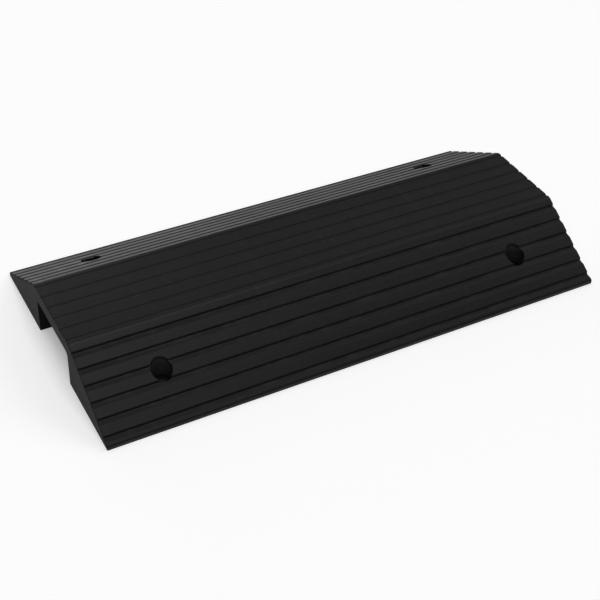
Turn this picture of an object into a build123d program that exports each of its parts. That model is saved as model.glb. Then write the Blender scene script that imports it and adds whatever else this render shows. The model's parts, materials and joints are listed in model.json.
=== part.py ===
"""Portable wheelchair ramp: one moulded rubber hump with lengthwise grip ribs.

Frame: X along the ramp's length, Y across it (the way the wheels travel), Z up.
The origin is the middle of the underside. Millimetres.
"""
from build123d import *
import math
import os

# Overall
ramp_length = 600.0
ramp_width = 297.0
ramp_height = 60.0
toe_height = 4.5
toe_radius = 2.5
end_edge_radius = 0.8

# Grip ribs: grooves run the whole length, evenly spaced over the crown and both slopes
groove_pitch = 18.2
crown_grooves = 6
crown_margin = 6.3
bend_radius = 8.0
toe_margin = 3.0
rib_edge_radius = 1.0
groove_floor_radius = 0.6

# Crown grooves are narrow and even
crown_groove_mouth = 4.5
crown_groove_floor = 1.4
crown_groove_depth = 1.2

# Slope grooves are wider, with a steep wall uphill and a gentle one downhill
slope_groove_mouth = 7.6
slope_groove_floor = 1.5
slope_groove_depth = 2.1
steep_wall_run = 1.3
first_slope_groove = 12.8

# Channel underneath, from end to end
channel_width = 90.0
channel_height = 42.0
channel_corner_radius = 5.0

# Fixing holes: a wide bore down to a seat, then a bolt hole through the base
hole_from_end = 80.0
hole_from_side = 51.0
bore_diameter = 23.0
bolt_hole_diameter = 13.0
seat_height = 12.0

# Worked out from the values above
crown_width = (crown_grooves - 1) * groove_pitch + 2 * crown_margin
slope_run = (ramp_width - crown_width) / 2
slope_drop = ramp_height - toe_height
slope_length = math.hypot(slope_run, slope_drop)
slope_angle = math.degrees(math.atan2(slope_drop, slope_run))


def region(outline):
    """Face closed by a straight line between the ends of an open outline."""
    return make_face([outline, Line(outline @ 1, outline @ 0)])


def hump_section():
    """Hump without its grooves, drawn with x across the ramp and y up."""
    # A bend's arc ends before the rounded lip of the groove beside it
    bend_room = crown_margin - crown_groove_mouth / 2 - rib_edge_radius
    largest_bend = bend_room / math.tan(math.radians(slope_angle / 2))
    bend = min(bend_radius, largest_bend)
    return region(
        FilletPolyline(
            (-ramp_width / 2, 0),
            (-ramp_width / 2, toe_height),
            (-crown_width / 2, ramp_height),
            (crown_width / 2, ramp_height),
            (ramp_width / 2, toe_height),
            (ramp_width / 2, 0),
            radius=[toe_radius, bend, bend, toe_radius],
        )
    )


def groove_section(mouth, floor, depth, left_wall_run):
    """Groove with rounded lips and floor; its mouth is centred on the origin at y = 0."""
    left_lip = -mouth / 2
    floor_start = left_lip + left_wall_run
    # Flat tails past the lips, for the rounding to start on
    tail = rib_edge_radius + 0.1
    outline = FilletPolyline(
        (left_lip - tail, 0),
        (left_lip, 0),
        (floor_start, -depth),
        (floor_start + floor, -depth),
        (mouth / 2, 0),
        (mouth / 2 + tail, 0),
        radius=[rib_edge_radius, groove_floor_radius, groove_floor_radius, rib_edge_radius],
    )
    return region(outline)


def crown_cutters():
    """Crown grooves, level with the rib tops."""
    even_run = (crown_groove_mouth - crown_groove_floor) / 2
    groove = groove_section(crown_groove_mouth, crown_groove_floor, crown_groove_depth, even_run)
    cutters = []
    for i in range(crown_grooves):
        y = (i - (crown_grooves - 1) / 2) * groove_pitch
        cutters.append(Pos(y, ramp_height) * groove)
    return cutters


def slope_cutters():
    """Slope grooves on the rear side, then their mirror images on the front side."""
    groove = groove_section(slope_groove_mouth, slope_groove_floor, slope_groove_depth, steep_wall_run)
    cutters = []
    along = first_slope_groove
    while along + slope_groove_mouth / 2 + toe_margin < slope_length:
        y = crown_width / 2 + along * slope_run / slope_length
        z = ramp_height - along * slope_drop / slope_length
        cutter = Pos(y, z) * Rot(0, 0, -slope_angle) * groove
        cutters.append(cutter)
        cutters.append(mirror(cutter, about=Plane.YZ))
        along += groove_pitch
    return cutters


def channel_section():
    """Channel outline with rounded ceiling corners."""
    return region(
        FilletPolyline(
            (-channel_width / 2, 0),
            (-channel_width / 2, channel_height),
            (channel_width / 2, channel_height),
            (channel_width / 2, 0),
            radius=channel_corner_radius,
        )
    )


def along_ramp(section):
    """Solid of a section drawn in (y, z), over the whole length of the ramp."""
    plane = Plane(origin=(-ramp_length / 2, 0, 0), x_dir=(0, 1, 0), z_dir=(1, 0, 0))
    return extrude(plane * section, amount=ramp_length)


def fixing_hole():
    """Bore, seat and bolt hole, standing on the base."""
    bore_depth = ramp_height - seat_height
    bore = Pos(0, 0, seat_height + bore_depth / 2) * Cylinder(bore_diameter / 2, bore_depth)
    bolt_hole = Pos(0, 0, seat_height / 2) * Cylinder(bolt_hole_diameter / 2, seat_height)
    return bore + bolt_hole


def hole_places():
    """Middle of every fixing hole, on the base."""
    spacing_x = ramp_length - 2 * hole_from_end
    spacing_y = ramp_width - 2 * hole_from_side
    return GridLocations(spacing_x, spacing_y, 2, 2)


def end_edges(body):
    """Edges of both end faces, apart from those on the ground."""
    edges = []
    for edge in body.edges():
        middle = edge.center()
        if math.isclose(abs(middle.X), ramp_length / 2) and middle.Z > 0.01:
            edges.append(edge)
    return edges


def ramp_body():
    section = hump_section() - channel_section()
    for cutter in crown_cutters() + slope_cutters():
        section -= cutter
    body = along_ramp(section)
    body = fillet(end_edges(body), end_edge_radius)
    for place in hole_places():
        body -= place * fixing_hole()
    return body


os.makedirs("parts", exist_ok=True)
export_step(ramp_body(), "parts/ramp_body.step")
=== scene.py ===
"""Portable wheelchair ramp in moulded black rubber, on a pale studio floor. Metres."""
import json
import math

import bpy
from mathutils import Matrix, Vector


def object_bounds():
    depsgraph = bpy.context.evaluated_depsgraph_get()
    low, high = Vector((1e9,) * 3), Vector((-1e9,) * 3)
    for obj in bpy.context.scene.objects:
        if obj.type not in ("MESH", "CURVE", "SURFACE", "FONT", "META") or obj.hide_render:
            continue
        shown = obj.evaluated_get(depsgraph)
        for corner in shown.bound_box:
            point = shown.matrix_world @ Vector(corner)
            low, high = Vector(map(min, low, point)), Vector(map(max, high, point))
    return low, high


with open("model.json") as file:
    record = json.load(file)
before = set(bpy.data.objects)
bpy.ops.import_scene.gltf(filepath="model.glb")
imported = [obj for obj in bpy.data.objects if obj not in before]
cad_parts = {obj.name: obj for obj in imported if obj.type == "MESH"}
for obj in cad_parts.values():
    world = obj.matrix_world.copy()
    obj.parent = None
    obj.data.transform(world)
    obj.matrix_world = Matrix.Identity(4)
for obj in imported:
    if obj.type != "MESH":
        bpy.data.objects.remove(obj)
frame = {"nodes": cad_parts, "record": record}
cad_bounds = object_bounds()

scene = bpy.context.scene
scene.view_settings.view_transform = "Standard"

# Camera: where it stands, its turn from looking along +Y, its downward tilt and its roll in degrees,
# and its lens and film in millimetres
camera_place = Vector((-0.5537, -0.9177, 0.8808))
camera_azimuth = -30.89
camera_elevation = 40.41
camera_roll = 3.69
camera_lens = 72.43
camera_film = 36

# Studio
floor_size = 60
floor_grey = 0.9
floor_roughness = 0.9
floor_specular = 0.1
floor_glow = 0.335
room_light = 0.04
backdrop_grey = 0.95

# Measures of the ramp that the rubber's wear and the painted shade in the channel follow
half_length, half_width, ramp_height = cad_bounds[1]
toe_height = 0.0045
slope_per_width = 0.574
channel_half_width = 0.045
channel_height = 0.042

# Fixing holes: their places, from the record's bolt pattern, and the bore down to its seat
bolts = next(mount for mount in frame["record"]["mounts"] if mount["name"] == "fixing_bolts")
bolt_x = bolts["dims"]["spacing_x_mm"] / 1000 / 2
bolt_y = bolts["dims"]["spacing_y_mm"] / 1000 / 2
bore_radius = 0.0115
bore_edge = 0.0006
seat_height = 0.0122
seat_corner = 0.002

# Depths below the rib tops between which each zone fades in or out
worn_top_fades = (0.0002, 0.0011)
groove_begins = (0.0007, 0.0018)
groove_ends = (0.0024, 0.0032)
bore_begins = (0.002, 0.006)

# How deep into the rubber the zones of the end faces and of the channel's walls reach
end_zone_starts = 0.0007
end_zone_full = 0.0001
channel_zone_full = 0.0002
channel_zone_ends = 0.0006

# Marks: how many to the metre, with a stretch along each axis where they run one way
blotches_per_metre = 11
dust_patches_per_metre = 60
specks_per_metre = 310
coarse_grains_per_metre = 620
fine_grains_per_metre = 2100
streak_stretch = (2.5, 190, 190)
wheel_line_stretch = (130, 7, 7)

# Middle of a noise, and the levels of it between which each mark comes in
noise_middle = 0.5
speck_levels = (0.66, 0.74)
scuff_levels = (0.56, 0.74)
dust_levels = (0.42, 0.7)

# Shades of the rubber and of what lies on it, the painted light on the bore walls and the painted shade in
# the channel, the share of each pattern in the plain shade, and how much of it scuffs, dust and specks
# cover
darkest_rubber = (0.0024, 0.0024, 0.0025, 1)
palest_rubber = (0.0074, 0.0074, 0.0073, 1)
scuffed_rubber = (0.018, 0.018, 0.0175, 1)
groove_dust = (0.021, 0.0205, 0.0195, 1)
pale_specks = (0.016, 0.016, 0.016, 1)
# Painted light: a pale flat colour that lifts the shade on the bore walls above the seat
bore_painted_light = (0.045, 0.0445, 0.0435, 1)
# Painted shade: a flat dark colour over the inside of the channel, under the ramp
channel_painted_shade = (0.0045, 0.0045, 0.0045, 1)
blotch_share = 0.35
streak_share = 0.35
grain_share = 0.3
scuff_cover = 0.3
dust_cover = 0.6
speck_cover = 0.35

# Roughness of each zone, and how far the marks move it
rib_roughness = 0.42
end_roughness = 0.75
channel_roughness = 1
rubber_specular = 0.2
blotch_roughening = 0.10
streak_roughening = 0.12
grain_roughening = 0.08
scuff_polish = 0.05
groove_roughening = 0.1

# Relief: the depth of each mark in metres, and its strength
fine_grain_relief = (0.00005, 0.35)
coarse_grain_relief = (0.00009, 0.35)
streak_relief = (0.00012, 0.3)


class Wire:
    """One output of a shader node, for sums written as plain arithmetic."""

    def __init__(self, graph, socket):
        self.graph = graph
        self.socket = socket

    def __add__(self, other):
        return self.graph.math("ADD", self, other)

    def __radd__(self, other):
        return self.graph.math("ADD", other, self)

    def __sub__(self, other):
        return self.graph.math("SUBTRACT", self, other)

    def __rsub__(self, other):
        return self.graph.math("SUBTRACT", other, self)

    def __mul__(self, other):
        return self.graph.math("MULTIPLY", self, other)

    def __rmul__(self, other):
        return self.graph.math("MULTIPLY", other, self)

    def __abs__(self):
        return self.graph.math("ABSOLUTE", self)


class Graph:
    """The shader nodes of one material, or of the world."""

    def __init__(self, owner):
        owner.use_nodes = True
        self.tree = owner.node_tree

    def node(self, kind, settings, inputs, output=0):
        made = self.tree.nodes.new(kind)
        for name, value in settings.items():
            setattr(made, name, value)
        self.feed(made, inputs)
        return Wire(self, made.outputs[output])

    def feed(self, node, inputs):
        for name, value in inputs.items():
            if isinstance(value, Wire):
                self.tree.links.new(value.socket, node.inputs[name])
            else:
                node.inputs[name].default_value = value

    def math(self, operation, *values):
        return self.node("ShaderNodeMath", {"operation": operation}, dict(enumerate(values)))

    def step(self, value, start, end):
        """0 below start, 1 above end, and smooth in between."""
        settings = {"interpolation_type": "SMOOTHSTEP"}
        inputs = {"Value": value, "From Min": start, "From Max": end}
        return self.node("ShaderNodeMapRange", settings, inputs)

    def place(self):
        """Position on the object, in metres."""
        return self.node("ShaderNodeTexCoord", {}, {}, "Object")

    def coordinates(self, place):
        """The X, Y and Z of a position."""
        first = self.node("ShaderNodeSeparateXYZ", {}, {0: place})
        return [Wire(self, socket) for socket in first.socket.node.outputs]

    def stretched(self, place, amounts):
        return self.node("ShaderNodeVectorMath", {"operation": "MULTIPLY"}, {0: place, 1: amounts})

    def noise(self, place, scale, detail):
        """A cloudy pattern, with detail for how many finer layers it has."""
        return self.node("ShaderNodeTexNoise", {}, {"Vector": place, "Scale": scale, "Detail": detail})

    def mixed(self, factor, first, second):
        """The first colour at factor 0, the second at 1. Inputs 6 and 7 and output 2 are the colours."""
        settings = {"data_type": "RGBA"}
        return self.node("ShaderNodeMix", settings, {0: factor, 6: first, 7: second}, 2)

    def bump(self, height, distance, strength, normal=None):
        """A normal tilted by a height, on top of another bump where one is given."""
        inputs = {"Height": height, "Distance": distance, "Strength": strength}
        if normal:
            inputs["Normal"] = normal
        return self.node("ShaderNodeBump", {}, inputs)


def grey(level):
    return (level, level, level, 1)


def add_camera():
    angles = (camera_azimuth, camera_elevation, camera_roll)
    azimuth, elevation, roll = (math.radians(a) for a in angles)
    flat = math.cos(elevation)
    back = Vector((math.sin(azimuth) * flat, -math.cos(azimuth) * flat, math.sin(elevation)))
    level = Vector((math.cos(azimuth), math.sin(azimuth), 0))
    upright = back.cross(level)
    right = level * math.cos(roll) + upright * math.sin(roll)
    up = upright * math.cos(roll) - level * math.sin(roll)
    turned = Matrix((right, up, back)).transposed().to_4x4()
    data = bpy.data.cameras.new("camera")
    data.lens = camera_lens
    data.sensor_width = camera_film
    camera = bpy.data.objects.new("camera", data)
    scene.collection.objects.link(camera)
    camera.matrix_world = Matrix.Translation(camera_place) @ turned
    scene.camera = camera


def add_floor():
    bpy.ops.object.select_all(action="DESELECT")
    bpy.ops.mesh.primitive_plane_add(size=floor_size)
    floor = bpy.context.object
    floor.name = "floor"
    pale_floor = bpy.data.materials.new("pale_floor")
    g = Graph(pale_floor)
    g.feed(g.tree.nodes["Principled BSDF"], {
        "Base Color": grey(floor_grey),
        "Roughness": floor_roughness,
        "Specular IOR Level": floor_specular,
        "Emission Color": grey(1),
        "Emission Strength": floor_glow,
    })
    floor.data.materials.append(pale_floor)


def add_softbox(name, azimuth, elevation, spread, strength):
    """A soft distant light from a compass direction: 0 is +X and 90 is +Y, all angles in degrees."""
    data = bpy.data.lights.new(name, "SUN")
    data.energy = strength
    data.angle = math.radians(spread)
    light = bpy.data.objects.new(name, data)
    scene.collection.objects.link(light)
    turn, rise = math.radians(azimuth), math.radians(elevation)
    flat = math.cos(rise)
    towards = Vector((math.cos(turn) * flat, math.sin(turn) * flat, math.sin(rise)))
    light.matrix_world = towards.to_track_quat("Z", "Y").to_matrix().to_4x4()


def add_world():
    """Faint even light on the ramp, and a pale backdrop that only the camera sees."""
    studio = bpy.data.worlds.new("studio")
    g = Graph(studio)
    room = g.tree.nodes["Background"]
    g.feed(room, {"Color": grey(room_light)})
    backdrop = g.node("ShaderNodeBackground", {}, {"Color": grey(backdrop_grey)})
    to_camera = g.node("ShaderNodeLightPath", {}, {}, "Is Camera Ray")
    both = g.node("ShaderNodeMixShader", {}, {0: to_camera, 1: Wire(g, room.outputs[0]), 2: backdrop})
    g.feed(g.tree.nodes["World Output"], {"Surface": both})
    scene.world = studio


def ramp_zones(g, place):
    """Masks for the worn rib tops, the grooves, the end faces, the bore walls and the channel."""
    x, y, z = g.coordinates(place)
    along = abs(x)
    across = abs(y)

    slope_top = toe_height + (half_width - across) * slope_per_width
    depth = g.math("MINIMUM", slope_top, ramp_height) - z
    worn_top = 1 - g.step(depth, *worn_top_fades)
    groove = g.step(depth, *groove_begins) * (1 - g.step(depth, *groove_ends))

    end = g.step(along, half_length - end_zone_starts, half_length - end_zone_full)

    from_bolt_x = along - bolt_x
    from_bolt_y = across - bolt_y
    from_axis = g.math("SQRT", from_bolt_x * from_bolt_x + from_bolt_y * from_bolt_y)
    bore = 1 - g.step(from_axis, bore_radius, bore_radius + bore_edge)
    above_seat = g.step(z, seat_height, seat_height + seat_corner)
    bore_wall = bore * g.step(depth, *bore_begins) * above_seat

    beside = g.step(across, channel_half_width + channel_zone_full, channel_half_width + channel_zone_ends)
    above = g.step(z, channel_height + channel_zone_full, channel_height + channel_zone_ends)
    channel = (1 - beside) * (1 - above)
    return worn_top, groove, end, bore_wall, channel


def black_rubber():
    """Moulded black rubber: fine grain, flow streaks, scuffed rib tops and dull ends, with painted light
    on the bore walls and painted shade in the channel.
    """
    material = bpy.data.materials.new("black_rubber")
    g = Graph(material)
    place = g.place()
    worn_top, groove, end, bore_wall, channel = ramp_zones(g, place)

    # Marks left by moulding
    blotches = g.noise(place, blotches_per_metre, detail=3)
    streaks = g.noise(g.stretched(place, streak_stretch), scale=1, detail=3)
    coarse_grain = g.noise(place, coarse_grains_per_metre, detail=2)
    fine_grain = g.noise(place, fine_grains_per_metre, detail=1)

    # Marks left by wheels and dust
    wheel_lines = g.noise(g.stretched(place, wheel_line_stretch), scale=1, detail=4)
    scuffs = g.step(wheel_lines, *scuff_levels) * worn_top * (1 - end)
    specks = g.step(g.noise(place, specks_per_metre, detail=2), *speck_levels)
    dust = groove * g.step(g.noise(place, dust_patches_per_metre, detail=4), *dust_levels)

    shade = blotch_share * blotches + streak_share * streaks + grain_share * coarse_grain
    colour = g.mixed(shade, darkest_rubber, palest_rubber)
    colour = g.mixed(scuffs * scuff_cover, colour, scuffed_rubber)
    colour = g.mixed(dust * dust_cover, colour, groove_dust)
    colour = g.mixed(specks * speck_cover, colour, pale_specks)
    # Painted light on the bore walls, lifting their shade
    colour = g.mixed(bore_wall, colour, bore_painted_light)
    # Painted shade inside the channel
    colour = g.mixed(channel, colour, channel_painted_shade)

    # The patterns move the roughness both ways from that of the ribs
    roughness = rib_roughness + blotch_roughening * (blotches - noise_middle)
    roughness = roughness + streak_roughening * (streaks - noise_middle)
    roughness = roughness + grain_roughening * (coarse_grain - noise_middle)
    roughness = roughness - scuff_polish * scuffs + groove_roughening * groove
    roughness = roughness + (end_roughness - rib_roughness) * end
    roughness = roughness + (channel_roughness - rib_roughness) * channel * (1 - end)

    normal = g.bump(fine_grain, *fine_grain_relief)
    normal = g.bump(coarse_grain, *coarse_grain_relief, normal)
    normal = g.bump(streaks, *streak_relief, normal)
    g.feed(g.tree.nodes["Principled BSDF"], {
        "Base Color": colour,
        "Roughness": roughness,
        "Specular IOR Level": rubber_specular,
        "Normal": normal,
    })
    return material


add_camera()
add_floor()
add_world()
add_softbox("overhead", azimuth=0, elevation=90, spread=36, strength=1.35)
add_softbox("low_back_card", azimuth=90, elevation=22, spread=36, strength=0.50)
add_softbox("back_right_card", azimuth=45, elevation=45, spread=36, strength=0.20)
add_softbox("right_card", azimuth=0, elevation=38, spread=36, strength=0.45)
add_softbox("front_fill", azimuth=262, elevation=42, spread=50, strength=0.22)

ramp_body = frame["nodes"]["ramp_body"]
ramp_body.data.materials.clear()
ramp_body.data.materials.append(black_rubber())
